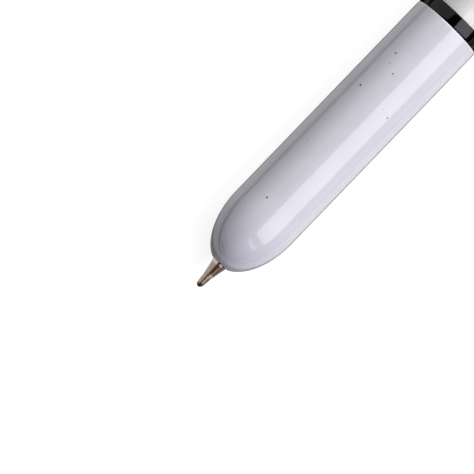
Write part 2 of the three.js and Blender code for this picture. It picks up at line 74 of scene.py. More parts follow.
# Barrels
NOSE_ARCH = 0.01087  # length over which each end of the capsule rounds off
NOSE_HOLE_RADIUS = 0.00149
NOSE_SETBACK = 0.00025  # how far the lacquered rim lies behind the CAD's, on a rounder nose
RIM_WIDTH = 0.00016
RIM_ROUNDING = 0.0001
EDGE_ROUNDING = 0.00005
CHAMFER_LENGTH = 0.0002
CHAMFER_DEPTH = 0.00006
CHAMFER_ROUNDING = 0.0002
HOLDING_LOOP = 0.0002  # length beside a chamfer in which its shading ends
INNER_ROUNDING = 0.00006
NOSE_SEAT = 0.0026
NOSE_SEAT_RADIUS = 0.0023
NOSE_CAVITY_RADIUS = 0.00505
NOSE_CAVITY_END = 0.0075
BORE_START = 0.0085
FRONT_BORE_RADIUS = 0.0056
SPIGOT_LENGTH = 0.004
SPIGOT_RADIUS = 0.00575
FACE_GAP = 0.0001
SEAT_GAP = 0.00005
RUN_GAP = 0.0001
REAR_BORE_RADIUS = 0.005
END_WALL = 0.0025

# Dark ring
RING_ROUNDING = 0.0001
SOFT_GROOVE_WIDTH = 0.0009
SOFT_GROOVE_DEPTH = 0.00045

# Slider tube
SLIDER_WALL = 0.00045
TUBE_ROUNDING = 0.00008

# Button
BUTTON_RADIUS = 0.00425
BUTTON_EDGE_ROUNDING = 0.00018
BUTTON_EDGE_STEP = 0.0003
BUTTON_GAP = 0.0002
BUTTON_FLANGE = 0.0016
STEM_LENGTH = 0.0046
STEM_RADIUS = 0.0033
STEM_BORE_RADIUS = 0.0027
STEM_BORE_DEPTH = 0.0095

# Metal point, with places counted from the front of its ball
BALL_RADIUS = 0.00045
SOCKET_RADIUS = 0.00049
BALL_SHOWS = 0.0003
DUCT_RADIUS = 0.0002
INK_BORE_RADIUS = 0.0008
INK_BORE_START = 0.0032
LIP_RADIUS = 0.00052
NOZZLE_RADIUS = 0.00062
NOZZLE_START = 0.0008
NOZZLE_ROUNDING = 0.0003
NECK_RADIUS = 0.00075
NECK_START = 0.00216
NECK_ROUNDING = 0.0002
CONE_END_RADIUS = 0.00121
CONE_END = 0.00455
COLLAR_SLOPE = 0.00003
COLLAR_FRONT_RADIUS = 0.001262
COLLAR_END = 0.00505
COLLAR_ROUNDING = 0.00002
GROOVE_RADIUS = 0.0012
GROOVE_LENGTH = 0.0008
SHANK_RADIUS = 0.001335
SHOULDER = 0.0118
SHOULDER_LENGTH = 0.0004
REFILL_RADIUS = 0.0021
BACK_RADIUS = 0.00185

# Springs: mean radius, wire radius and turns
RETURN_SPRING = (0.0018, 0.0002, 4)
MAIN_SPRING = (0.0041, 0.0003, 14)
BUTTON_SPRING = (0.0041, 0.00025, 4)
SPRING_STEPS = 28
WIRE_SIDES = 12
END_PITCH = 1.05  # of a closed end turn, as a share of the wire's thickness

# Smoothness of the turned pieces
BARREL_SIDES = 144
POINT_SIDES = 64
ARCH_STEPS = 40
SOCKET_STEPS = 10
ROUNDING_STEPS = 4
BALL_DIVISIONS = 3
BALL_SMOOTHING = 2
SMOOTH_ANGLE = math.radians(30)
WIRE_SMOOTH_ANGLE = math.radians(60)
MERGE_DISTANCE = 1e-7
WIRE_MERGE_DISTANCE = 1e-6

# Marks in the front barrel's lacquer: distance behind the nose rim, angle from the top of the
# barrel towards -Y in degrees, radius, and how dark
LACQUER_SPECKS = [
    (0.03648, -35.4, 0.0002, 1),
    (0.0128, -17.6, 0.00018, 1),
    (0.04412, -29.7, 0.00017, 1),
    (0.0413, -10.0, 0.00014, 1),
    (0.03559, 30.9, 0.00014, 1),
    (0.0423, -25.3, 0.00012, 0.6),
    (0.03607, 16.9, 0.0001, 0.5),
    (0.02422, -35.2, 0.00012, 0.5),
    (0.04597, 59.0, 0.0001, 0.5),
    (0.03866, 36.6, 0.0001, 0.45),
    (0.02099, 118.0, 0.00013, 0.9),
    (0.03343, 161.0, 0.00012, 0.8),
    (0.0484, -141.0, 0.00014, 0.9),
    (0.02898, -102.0, 0.0001, 0.6),
]

# What finishes have where they say nothing else. A noise's scale is in features a metre, and most
# of its values lie from low to high
NOISE_DETAIL = 3
NOISE_ROUGHNESS = 0.5
NOISE_LOW = 0.3
NOISE_HIGH = 0.7
PLAIN_IOR = 1.5

# Lacquer, with places counted from the rim of the nose
LACQUER = (0.745, 0.728, 0.81)
LACQUER_SHADE = (0.71, 0.69, 0.775)
# painted shade: the lacquer turns bluer towards the nose, which faces away from the lamps
LACQUER_NOSE_SHADE = (0.735, 0.718, 0.845)
NOSE_SHADE_START = 0.003
NOSE_SHADE_END = 0.012
LACQUER_ROUGHNESS = 0.06
LACQUER_IOR = 1.6
LACQUER_CLOUDS = {"scale": 300, "detail": 6, "roughness": 0.62}
LACQUER_SHEEN = {"scale": 160, "detail": 5}
LACQUER_SHEEN_RANGE = (0.035, 0.06)
LACQUER_WAVES = {"scale": 850, "detail": 1.5}
LACQUER_RELIEF = 0.000002
SPECK_COLOUR = (0.03, 0.025, 0.03)
SPECK_CORE = 0.75  # share of a mark's radius that is fully dark
SPECK_WOBBLE = {"scale": 9000, "detail": 2}
SPECK_WOBBLE_WIDTH = 0.00007
SPRINKLE_SCALE = 300
SPRINKLE_RADIUS = 0.00011
SPRINKLE_CORE = 0.6
SPRINKLE_DARKNESS = 0.8

# The point's metal, with places counted from the front of the ball
NICKEL = (0.5, 0.38, 0.29)
NICKEL_ROUGHNESS = 0.1
NICKEL_METALLIC = 0.74
NICKEL_PATCHES = {"scale": 1500, "detail": 4}
NICKEL_TONES = ((0.66, 0.495, 0.39), (0.53, 0.39, 0.3))
NICKEL_POLISHED = (0.95, 0.79, 0.67)
NICKEL_RINGS = {"stretch": (26000, 250, 250)}
NICKEL_RING_RANGE = (0.06, 0.11)
NICKEL_RELIEF = 0.0000004
INK = (0.05, 0.035, 0.03)
INK_START = 0.0003
INK_END = 0.0007
# Painted shade: the nozzle, cone and collar are darker on their -Y side, towards the key lamp,
# which dims its reflection there
NOZZLE_SIDE_SHADE = (0.19, 0.15, 0.115)
NOZZLE_SHADE_START = 0.0019
NOZZLE_SHADE_END = 0.0026
CONE_SIDE_SHADE = (0.13, 0.078, 0.058)
CONE_SHADE_START = 0.0029
CONE_SHADE_SHARE = 0.85
COLLAR_SHADE_SHARE = 0.95
SHADED_SIDE_EDGE = (-0.000075, 0.0003)  # where the painted shade on the -Y side fades out across the pen

# The ball's metal under a film of ink in patches
CARBIDE = (0.1, 0.1, 0.105)
CARBIDE_ROUGHNESS = 0.25
CARBIDE_FILM = {"scale": 3200, "detail": 4}
CARBIDE_FILM_EDGES = (0.42, 0.55)
CARBIDE_TONES = ((0.13, 0.125, 0.12), (0.02, 0.016, 0.016))
CARBIDE_FILM_RANGE = (0.2, 0.45)
CARBIDE_GRAIN = {"scale": 9000, "detail": 2}
CARBIDE_RELIEF = 0.000001

# Plain finishes: the shader's colour, roughness and metallic, the noise that blends the two
# tones, and the noise of the grain with its range of roughness and its relief
PLAIN_FINISHES = {
    # polished black with faint turning marks, set as a nearly black metal, because that sheen
    # can fade towards the sides of the ring, as the photo's does
    "black_gloss": {
        "colour": (0.037, 0.037, 0.038), "roughness": 0.09, "metallic": 1,
        "blend": {"scale": 600},
        "tones": ((0.035, 0.035, 0.036), (0.039, 0.039, 0.041)),
        "grain": {"detail": 4, "stretch": (26000, 300, 300)},
        "grain_range": (0.07, 0.13), "relief": 0.0000003,
        "edge_sheen": (0.3, 0.3, 0.3, 1)},
    # satin metal, brushed lengthwise
    "satin_silver": {
        "colour": (0.7, 0.7, 0.72), "roughness": 0.52, "metallic": 0.32,
        "blend": {"detail": 4, "roughness": 0.6, "stretch": (140, 2600, 2600)},
        "tones": ((0.76, 0.76, 0.78), (0.66, 0.66, 0.675)),
        "grain": {"detail": 5, "roughness": 0.6, "stretch": (90, 11000, 11000)},
        "grain_range": (0.45, 0.6), "relief": 0.000001},
    # drawn wire and pins
    "spring_steel": {
        "colour": (0.62, 0.62, 0.63), "roughness": 0.3, "metallic": 1,
        "blend": {"scale": 2600, "detail": 4},
        "tones": ((0.66, 0.66, 0.67), (0.52, 0.52, 0.53)),
        "grain": {"scale": 2600, "detail": 4},
        "grain_range": (0.24, 0.42), "relief": 0.0000008},
    # moulded plastic
    "grey_plastic": {
        "colour": (0.17, 0.175, 0.19), "roughness": 0.5, "metallic": 0,
        "blend": {"scale": 260},
        "tones": ((0.16, 0.165, 0.18), (0.2, 0.205, 0.22)),
        "grain": {"scale": 5200},
        "grain_range": (0.42, 0.6), "relief": 0.000002},
    # matt rubber
    "soft_black": {
        "colour": (0.02, 0.02, 0.021), "roughness": 0.75, "metallic": 0,
        "blend": {"scale": 6400, "detail": 4},
        "tones": ((0.016, 0.016, 0.017), (0.03, 0.03, 0.031)),
        "grain": {"scale": 6400, "detail": 4},
        "grain_range": (0.65, 0.85), "relief": 0.000003},
    # turned, a little tarnished
    "brass": {
        "colour": (0.6, 0.43, 0.18), "roughness": 0.3, "metallic": 1,
        "blend": {"scale": 420, "detail": 5},
        "tones": ((0.66, 0.48, 0.2), (0.42, 0.28, 0.11)),
        "grain": {"stretch": (15000, 250, 250)},
        "grain_range": (0.22, 0.42), "relief": 0.000001},
}

# Camera
LENS = 592.9
SENSOR_WIDTH = 36
CLIP_END = 50
CAMERA_DISTANCE = 1.2628
CAMERA_TILT = math.radians(3.8)  # from straight down, with the camera on the point's side
PEN_SLOPE = math.radians(46.07)  # of the pen's axis in the picture
VIEW_CENTRE = Vector((-0.051427, 0.00094, AXIS_HEIGHT))  # what the picture's middle shows

# Lamps: angles in degrees from straight up, first across the pen towards -Y and then along it
# towards +X, with their distance and their radiance
KEY_SOFTBOX = {"across": (15.4, 67.5), "along": (-18, 24), "distance": 0.9, "radiance": 2.32}
BACK_SOFTBOX = {"across": (15.4, 67.5), "along": (24, 44), "distance": 0.9, "radiance": 4.1}
FRONT_CARD = {"across": (14, 60), "along": (-32, -26.5), "distance": 0.9, "radiance": 1.6}
SIDE_SOFTBOX = {"across": -6, "along": 42, "distance": 0.9, "width": 0.6, "radiance": 3.6}
LAMP_AIM = Vector((-0.03, 0, AXIS_HEIGHT))

# Surroundings, with heights and edges as the sine of an angle
AMBIENT = 0.01
BACKDROP = 1
CEILING = 0.03
CEILING_START = 0.06
WALL = 0.58
WALL_FOOT = 0.68  # how pale the wall is at the horizon
WALL_HEIGHT = 0.7  # where its paler foot has faded out
WALL_START = 0.29  # the wall starts where a ray's Y and its X times the slant add up to this
WALL_SLANT = 0.5
FLOOR_SIZE = 30
FLOOR_COLOUR = (0.36, 0.36, 0.37, 1)
FLOOR_LIFT = 0.85

# Dark cards on the floor, painted dark reflections that only gloss sees: the side of the pen, the
# distances from its axis to the card's near and far edges, and the card's radiance. The narrow
# strips are a painted reflection of the pen's shadow on the floor beside it.
CARD_LENGTH = 1.2
CARD_HEIGHT = 0.0002
DARK_CARDS = {
    "left_dark_reflection": {"side": 1, "near": 0.036, "far": 0.54, "radiance": 0.16},
    "right_dark_reflection": {"side": -1, "near": 0.036, "far": 0.54, "radiance": 0.3},
    "left_shadow_reflection": {"side": 1, "near": 0.002, "far": 0.0105, "radiance": 0.35},
    "right_shadow_reflection": {"side": -1, "near": 0.002, "far": 0.0105, "radiance": 0.2},
}


# Modelling


def deselect_all():
    if bpy.context.object and bpy.context.object.mode != "OBJECT":
        bpy.ops.object.mode_set(mode="OBJECT")
    bpy.ops.object.select_all(action="DESELECT")


def rounded(stations):
    """Profile points from (place, radius) or (place, radius, rounding) stations."""
    points = []
    last = len(stations) - 1
    for i, station in enumerate(stations):
        corner = Vector(station[:2])
        if len(station) < 3 or i in (0, last):
            points.append(corner)
            continue
        back = (Vector(stations[i - 1][:2]) - corner).normalized()
        ahead = (Vector(stations[i + 1][:2]) - corner).normalized()
        half_angle = back.angle(ahead) / 2
        reach = station[2] / math.tan(half_angle)
        centre = corner + (back + ahead).normalized() * (station[2] / math.sin(half_angle))
        start, end = corner + back * reach - centre, corner + ahead * reach - centre
        sweep = math.atan2(start.x * end.y - start.y * end.x, start.dot(end))
        for k in range(ROUNDING_STEPS + 1):
            turn = Matrix.Rotation(sweep * k / ROUNDING_STEPS, 2)
            points.append(centre + turn @ start)
    return points


def turned(name, points, sides, closed=True):
    """A piece turned on the pen's axis: one circle, extruded and resized along a profile.
    A profile that isn't closed is filled across its first circle and ends on the axis."""
    deselect_all()
    place, radius = points[0]
    bpy.ops.mesh.primitive_circle_add(
        vertices=sides, radius=radius, fill_type="NOTHING",
        location=(NOSE_RIM + place, 0, AXIS_HEIGHT), rotation=(0, math.pi / 2, 0))
    piece = bpy.context.object
    piece.name = piece.data.name = name
    bpy.ops.object.transform_apply(location=True, rotation=True, scale=True)
    bpy.ops.object.mode_set(mode="EDIT")
    bpy.ops.mesh.select_all(action="SELECT")
    if not closed:
        bpy.ops.mesh.edge_face_add()
    for next_place, next_radius in points[1:]:
        bpy.ops.mesh.extrude_edges_move(
            TRANSFORM_OT_translate={"value": (next_place - place, 0, 0)})
        if next_radius == 0:
            bpy.ops.mesh.merge(type="CENTER")
            break
        share = next_radius / radius
        bpy.ops.transform.resize(
            value=(1, share, share),
            center_override=(NOSE_RIM + next_place, 0, AXIS_HEIGHT))
        place, radius = next_place, next_radius
    bpy.ops.mesh.select_all(action="SELECT")
    bpy.ops.mesh.remove_doubles(threshold=MERGE_DISTANCE)
    bpy.ops.mesh.normals_make_consistent(inside=False)
    bpy.ops.object.mode_set(mode="OBJECT")
    bpy.ops.object.shade_smooth_by_angle(angle=SMOOTH_ANGLE)
    return piece


def wound(name, node, spring):
    """A compression spring in the place of its CAD node: wire wound in three runs, with a closed
    turn at each end, joined into one unbroken wire."""
    radius, wire, turns = spring
    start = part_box(node)[0].x + wire
    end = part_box(node)[1].x - wire
    end_pitch = END_PITCH * 2 * wire
    middle_pitch = (end - start - 2 * end_pitch) / (turns - 2)
    runs = [(start, end_pitch, 1), (start + end_pitch, middle_pitch, turns - 2),
            (end - end_pitch, end_pitch, 1)]
    parts = []
    for place, pitch, count in runs:
        deselect_all()
        bpy.ops.mesh.primitive_circle_add(
            vertices=WIRE_SIDES, radius=wire, fill_type="NOTHING",
            location=(place, 0, AXIS_HEIGHT + radius), rotation=(math.pi / 2, 0, 0))
        run = bpy.context.object
        bpy.ops.object.transform_apply(location=True, rotation=True, scale=True)
        bpy.context.scene.cursor.location = (place, 0, AXIS_HEIGHT)
        bpy.ops.object.origin_set(type="ORIGIN_CURSOR")
        winding = run.modifiers.new("Winding", "SCREW")
        winding.axis = "X"
        winding.screw_offset = pitch
        winding.iterations = count
        winding.steps = winding.render_steps = SPRING_STEPS
        winding.use_smooth_shade = True
        bpy.ops.object.modifier_apply(modifier=winding.name)
        bpy.ops.object.transform_apply(location=True, rotation=True, scale=True)
        parts.append(run)
    deselect_all()
    for part in parts:
        part.select_set(True)
    bpy.context.view_layer.objects.active = parts[0]
    bpy.ops.object.join()
    piece = bpy.context.object
    piece.name = piece.data.name = name
    bpy.ops.object.mode_set(mode="EDIT")
    bpy.ops.mesh.select_all(action="SELECT")
    bpy.ops.mesh.remove_doubles(threshold=WIRE_MERGE_DISTANCE)
    bpy.ops.mesh.select_all(action="SELECT")
    bpy.ops.mesh.fill_holes(sides=WIRE_SIDES)
    bpy.ops.mesh.normals_make_consistent(inside=False)
    bpy.ops.object.mode_set(mode="OBJECT")
    bpy.ops.object.shade_smooth_by_angle(angle=WIRE_SMOOTH_ANGLE)
    bpy.context.scene.cursor.location = (0, 0, 0)
    return piece


def painted(piece, material):
    piece.data.materials.clear()
    piece.data.materials.append(material)


def fitted(piece, node, body, material):
    """Puts a finished piece in the place of its CAD node."""
    painted(piece, material)
    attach(piece, body)
    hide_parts(node)


# Finishes


def add_node(tree, kind, inputs=None, **settings):
    """Adds a node with its settings. Each input gets a value or the output of another node."""
    node = tree.nodes.new(kind)
    for key, value in settings.items():
        setattr(node, key, value)
    for key, value in (inputs or {}).items():
        if isinstance(value, bpy.types.NodeSocket):
            tree.links.new(value, node.inputs[key])
        else:
            node.inputs[key].default_value = value
    return node


class Finish:
    """A node material: its shader, and short ways to add the nodes that feed it."""

    def __init__(self, name, colour, roughness, metallic=0, ior=PLAIN_IOR):
        self.material = bpy.data.materials.new(name)
        self.material.use_nodes = True
        self.material.diffuse_color = (*colour, 1)
        self.tree = self.material.node_tree
        self.shader = self.tree.nodes["Principled BSDF"]
        self.shader.inputs["Base Color"].default_value = (*colour, 1)
        self.shader.inputs["Roughness"].default_value = roughness
        self.shader.inputs["Metallic"].default_value = metallic
        self.shader.inputs["IOR"].default_value = ior
        self.places = self.add("ShaderNodeTexCoord").outputs["Object"]

    def add(self, kind, inputs=None, **settings):
        return add_node(self.tree, kind, inputs, **settings)

    def axes(self):
        """The pen's own coordinates, one by one."""
        return self.add("ShaderNodeSeparateXYZ", {"Vector": self.places}).outputs

    def noise(self, scale=1, detail=NOISE_DETAIL, roughness=NOISE_ROUGHNESS, stretch=None,
              output="Fac"):
        """Cloudy noise with that many features a metre, or as many along each axis as stretch
        says."""
        places = self.places
        if stretch:
            mapping = self.add("ShaderNodeMapping", {"Vector": places, "Scale": stretch})
            places = mapping.outputs["Vector"]
        noise = self.add("ShaderNodeTexNoise", {
            "Vector": places, "Scale": scale, "Detail": detail, "Roughness": roughness})
        return noise.outputs[output]

    def ranged(self, value, low, high, start=NOISE_LOW, end=NOISE_HIGH):
        """Turns values from start to end into low to high."""
        spread = self.add("ShaderNodeMapRange", {
            "Value": value, "From Min": start, "From Max": end, "To Min": low, "To Max": high})
        return spread.outputs["Result"]

    def blended(self, share, first, second):
        """Mixes two colours, each a colour or the output of a node."""
        first, second = (
            (*colour, 1) if isinstance(colour, tuple) else colour for colour in (first, second))
        mix = self.add(
            "ShaderNodeMix", {"Factor": share, "A": first, "B": second}, data_type="RGBA")
        return mix.outputs["Result"]

    def chosen(self, operation, first, second):
        """The larger of two values with MAXIMUM, the smaller with MINIMUM."""
        return self.add(
            "ShaderNodeMath", {0: first, 1: second}, operation=operation).outputs["Value"]

    def wear(self, colour, roughness, height, depth):
        """Gives the shader its colour, its roughness and a relief of that depth in metres."""
        relief = self.add("ShaderNodeBump", {"Height": height, "Distance": depth, "Strength": 1})
        for name, output in (("Base Color", colour), ("Roughness", roughness),
                             ("Normal", relief.outputs["Normal"])):
            self.tree.links.new(output, self.shader.inputs[name])


def lacquer(name, specks=(), sprinkle=False):
    """Pale lavender-white gloss lacquer with a faint ripple, a few dark marks and painted bluish
    shade towards the nose.
    """
    finish = Finish(name, LACQUER, LACQUER_ROUGHNESS, ior=LACQUER_IOR)
    clouds = finish.ranged(finish.noise(**LACQUER_CLOUDS), 0, 1)
    shade = finish.blended(clouds, LACQUER, LACQUER_SHADE)
    # painted shade: bluer towards the nose
    nose = finish.ranged(
        finish.axes()["X"], 1, 0, NOSE_RIM + NOSE_SHADE_START, NOSE_RIM + NOSE_SHADE_END)
    shade = finish.blended(nose, shade, LACQUER_NOSE_SHADE)
    shift = finish.add("ShaderNodeVectorMath", {
        0: finish.noise(**SPECK_WOBBLE, output="Color"), "Scale": SPECK_WOBBLE_WIDTH},
        operation="SCALE")
    placed = finish.add("ShaderNodeVectorMath", {
        0: finish.places, 1: shift.outputs["Vector"]}, operation="ADD")
    middle_shift = SPECK_WOBBLE_WIDTH / 2
    marks = []
    for distance, angle, radius, darkness in specks:
        turn = math.radians(angle)
        centre = (NOSE_RIM + distance + middle_shift,
                  -BARREL_RADIUS * math.sin(turn) + middle_shift,
                  AXIS_HEIGHT + BARREL_RADIUS * math.cos(turn) + middle_shift)
        near = finish.add("ShaderNodeVectorMath", {
            0: placed.outputs["Vector"], 1: centre}, operation="DISTANCE")
        marks.append(finish.ranged(
            near.outputs["Value"], darkness, 0, radius * SPECK_CORE, radius))
    if sprinkle:
        cells = finish.add("ShaderNodeTexVoronoi", {
            "Vector": placed.outputs["Vector"], "Scale": SPRINKLE_SCALE})
        reach = SPRINKLE_RADIUS * SPRINKLE_SCALE
        marks.append(finish.ranged(
            cells.outputs["Distance"], SPRINKLE_DARKNESS, 0, reach * SPRINKLE_CORE, reach))
    while len(marks) > 1:
        marks.append(finish.chosen("MAXIMUM", marks.pop(0), marks.pop(0)))
    finish.wear(
        finish.blended(marks[0], shade, SPECK_COLOUR),
        finish.ranged(finish.noise(**LACQUER_SHEEN), *LACQUER_SHEEN_RANGE),
        finish.noise(**LACQUER_WAVES), LACQUER_RELIEF)
    return finish.material


def nickel_silver():
    """Warm nickel-coloured metal with the fine rings that turning leaves, inky round the ball,
    and with painted shade on the -Y side of the nozzle, cone and collar."""
    finish = Finish("nickel_silver", NICKEL, NICKEL_ROUGHNESS, NICKEL_METALLIC)
    front = NOSE_RIM + POINT_FRONT
    axes = finish.axes()

    def along(low, high, start, end):
        return finish.ranged(axes["X"], low, high, front + start, front + end)

    patches = finish.ranged(finish.noise(**NICKEL_PATCHES), 0, 1)
    metal = finish.blended(patches, *NICKEL_TONES)
    polish = along(0, 1, CONE_END - COLLAR_SLOPE, CONE_END)
    metal = finish.blended(polish, metal, NICKEL_POLISHED)
    # painted shade: the -Y side, towards the key lamp, is darkened to dim its reflection
    side = finish.ranged(axes["Y"], 1, 0, *SHADED_SIDE_EDGE)
    nozzle_shade = finish.chosen("MINIMUM", along(1, 0, NOZZLE_SHADE_START, NOZZLE_SHADE_END), side)
    metal = finish.blended(nozzle_shade, metal, NOZZLE_SIDE_SHADE)
    cone_shade = finish.chosen("MINIMUM", along(0, CONE_SHADE_SHARE, NOZZLE_SHADE_END, CONE_SHADE_START), side)
    collar = along(1, COLLAR_SHADE_SHARE, CONE_END - COLLAR_SLOPE, CONE_END)
    metal = finish.blended(finish.chosen("MINIMUM", cone_shade, collar), metal, CONE_SIDE_SHADE)
    rings = finish.noise(**NICKEL_RINGS)
    finish.wear(
        finish.blended(along(1, 0, INK_START, INK_END), metal, INK),
        finish.ranged(rings, *NICKEL_RING_RANGE), rings, NICKEL_RELIEF)
    return finish.material


def carbide():
    """The dark writing ball, with a film of ink in patches."""
    finish = Finish("carbide", CARBIDE, CARBIDE_ROUGHNESS, metallic=1)
    film = finish.ranged(finish.noise(**CARBIDE_FILM), 0, 1, *CARBIDE_FILM_EDGES)
    finish.wear(
        finish.blended(film, *CARBIDE_TONES), finish.ranged(film, *CARBIDE_FILM_RANGE, 0, 1),
        finish.noise(**CARBIDE_GRAIN), CARBIDE_RELIEF)
    return finish.material


def plain_finish(name):
    """One of the plain finishes."""
    look = PLAIN_FINISHES[name]
    finish = Finish(name, look["colour"], look["roughness"], look["metallic"])
    grain = finish.noise(**look["grain"])
    finish.wear(
        finish.blended(finish.ranged(finish.noise(**look["blend"]), 0, 1), *look["tones"]),
        finish.ranged(grain, *look["grain_range"]), grain, look["relief"])
    if "edge_sheen" in look:
        finish.shader.inputs["Specular Tint"].default_value = look["edge_sheen"]
    return finish.material


# Pieces


def nose_arch(first_radius, last_radius, centre, direction, length=NOSE_ARCH):
    """Stations along a rounded end of the capsule, whose widest section is at centre."""
    first = math.asin(min(1, first_radius / BARREL_RADIUS))
    last = math.asin(min(1, last_radius / BARREL_RADIUS))
    angles = [first + (last - first) * i / ARCH_STEPS for i in range(ARCH_STEPS + 1)]
    return [(centre + direction * length * math.cos(a), BARREL_RADIUS * math.sin(a))
            for a in angles]


def arch_reach(radius):
    return NOSE_ARCH * math.sqrt(1 - (radius / BARREL_RADIUS) ** 2)


def front_barrel(material):
    rim_radius = NOSE_HOLE_RADIUS + RIM_WIDTH
    arch_centre = arch_reach(rim_radius)
    arch_length = NOSE_ARCH * (1 - NOSE_SETBACK / arch_centre)
    counterbore = SPIGOT_RADIUS + SEAT_GAP
    counterbore_start = FRONT_END - SPIGOT_LENGTH - FACE_GAP
    profile = rounded([
        (NOSE_SEAT, NOSE_HOLE_RADIUS),
        (NOSE_SETBACK, NOSE_HOLE_RADIUS, RIM_ROUNDING),
        *nose_arch(rim_radius, BARREL_RADIUS, arch_centre, -1, arch_length),
        (FRONT_END - CHAMFER_LENGTH - HOLDING_LOOP, BARREL_RADIUS),
        (FRONT_END - CHAMFER_LENGTH, BARREL_RADIUS, CHAMFER_ROUNDING),
        (FRONT_END, BARREL_RADIUS - CHAMFER_DEPTH, EDGE_ROUNDING),
        (FRONT_END, counterbore, INNER_ROUNDING),
        (counterbore_start, counterbore),
        (counterbore_start, FRONT_BORE_RADIUS),
        (BORE_START, FRONT_BORE_RADIUS),
        (BORE_START, NOSE_CAVITY_RADIUS),
        (NOSE_CAVITY_END, NOSE_CAVITY_RADIUS),
        (NOSE_SEAT, NOSE_SEAT_RADIUS),
        (NOSE_SEAT, NOSE_HOLE_RADIUS),
    ])
    piece = turned("front_barrel_lacquered", profile, BARREL_SIDES)
    fitted(piece, "front_barrel", "front_half", material)


def centre_ring(material):
    spigot_bore = SLIDER_RADIUS + RUN_GAP
    groove_radius = spigot_bore + SOFT_GROOVE_DEPTH
    face = FRONT_END + FACE_GAP
    middle = FRONT_END + (RING_BACK - FRONT_END) / 2
    profile = rounded([
        (RING_FRONT, spigot_bore),
        (RING_FRONT, SPIGOT_RADIUS, INNER_ROUNDING),
        (face, SPIGOT_RADIUS),
        (face, BARREL_RADIUS - CHAMFER_DEPTH, INNER_ROUNDING),
        (face + CHAMFER_LENGTH, BARREL_RADIUS, CHAMFER_ROUNDING),
        (face + CHAMFER_LENGTH + HOLDING_LOOP, BARREL_RADIUS),
        (RING_BACK, BARREL_RADIUS, RING_ROUNDING),
        (RING_BACK, spigot_bore, INNER_ROUNDING),
        (middle + SOFT_GROOVE_WIDTH / 2, spigot_bore),
        (middle + SOFT_GROOVE_WIDTH / 2, groove_radius),
        (middle - SOFT_GROOVE_WIDTH / 2, groove_radius),
        (middle - SOFT_GROOVE_WIDTH / 2, spigot_bore),
        (RING_FRONT, spigot_bore),
    ])
    piece = turned("centre_ring_gloss", profile, BARREL_SIDES)
    fitted(piece, "centre_ring", "front_half", material)


def slider_tube(material):
    bore = SLIDER_RADIUS - SLIDER_WALL
    profile = rounded([
        (TUBE_FRONT, bore),
        (TUBE_FRONT, SLIDER_RADIUS, TUBE_ROUNDING),
        (TUBE_BACK, SLIDER_RADIUS, TUBE_ROUNDING),
        (TUBE_BACK, bore),
        (TUBE_FRONT, bore),
    ])
    piece = turned("slider_tube_satin", profile, BARREL_SIDES)
    fitted(piece, "slider_tube", "back_half", material)


def rear_barrel(material):
    socket = SLIDER_RADIUS + SEAT_GAP
    socket_end = TUBE_BACK + FACE_GAP
    hole = BUTTON_RADIUS + BUTTON_GAP
    rim_radius = hole + RIM_WIDTH
    arch_start = REAR_BACK - arch_reach(rim_radius)
    shoulder = REAR_BACK - END_WALL
    profile = rounded([
        (REAR_FRONT, socket),
        (REAR_FRONT, BARREL_RADIUS - CHAMFER_DEPTH, EDGE_ROUNDING),
        (REAR_FRONT + CHAMFER_LENGTH, BARREL_RADIUS, CHAMFER_ROUNDING),
        (REAR_FRONT + CHAMFER_LENGTH + HOLDING_LOOP, BARREL_RADIUS),
        *nose_arch(BARREL_RADIUS, rim_radius + BUTTON_EDGE_STEP, arch_start, 1),
        (REAR_BACK, rim_radius, RIM_ROUNDING),
        (REAR_BACK, hole, RIM_ROUNDING / 2),
        (shoulder, hole),
        (shoulder, REAR_BORE_RADIUS),
        (socket_end, REAR_BORE_RADIUS),
        (socket_end, socket),
        (REAR_FRONT, socket),
    ])
    piece = turned("rear_barrel_lacquered", profile, BARREL_SIDES)
    fitted(piece, "rear_barrel", "back_half", material)


def push_button(material):
    flange_start = BUTTON_FRONT + STEM_LENGTH
    flange_end = flange_start + BUTTON_FLANGE
    arch_start = BUTTON_BACK - NOSE_ARCH
    face = nose_arch(BUTTON_RADIUS - BUTTON_EDGE_STEP, 0, arch_start, 1)
    edge_place = arch_start + arch_reach(BUTTON_RADIUS)
    profile = rounded([
        (BUTTON_FRONT + STEM_BORE_DEPTH, STEM_BORE_RADIUS),
        (BUTTON_FRONT, STEM_BORE_RADIUS, INNER_ROUNDING),
        (BUTTON_FRONT, STEM_RADIUS, INNER_ROUNDING),
        (flange_start, STEM_RADIUS),
        (flange_start, STEM_ROOT_RADIUS, INNER_ROUNDING),
        (flange_end, STEM_ROOT_RADIUS, INNER_ROUNDING),
        (flange_end, BUTTON_RADIUS),
        (edge_place, BUTTON_RADIUS, BUTTON_EDGE_ROUNDING),
        *face[:-1],
        (face[-1][0], 0),
    ])
    piece = turned("push_button_lacquered", profile, BARREL_SIDES, closed=False)
    fitted(piece, "push_button", "button", material)


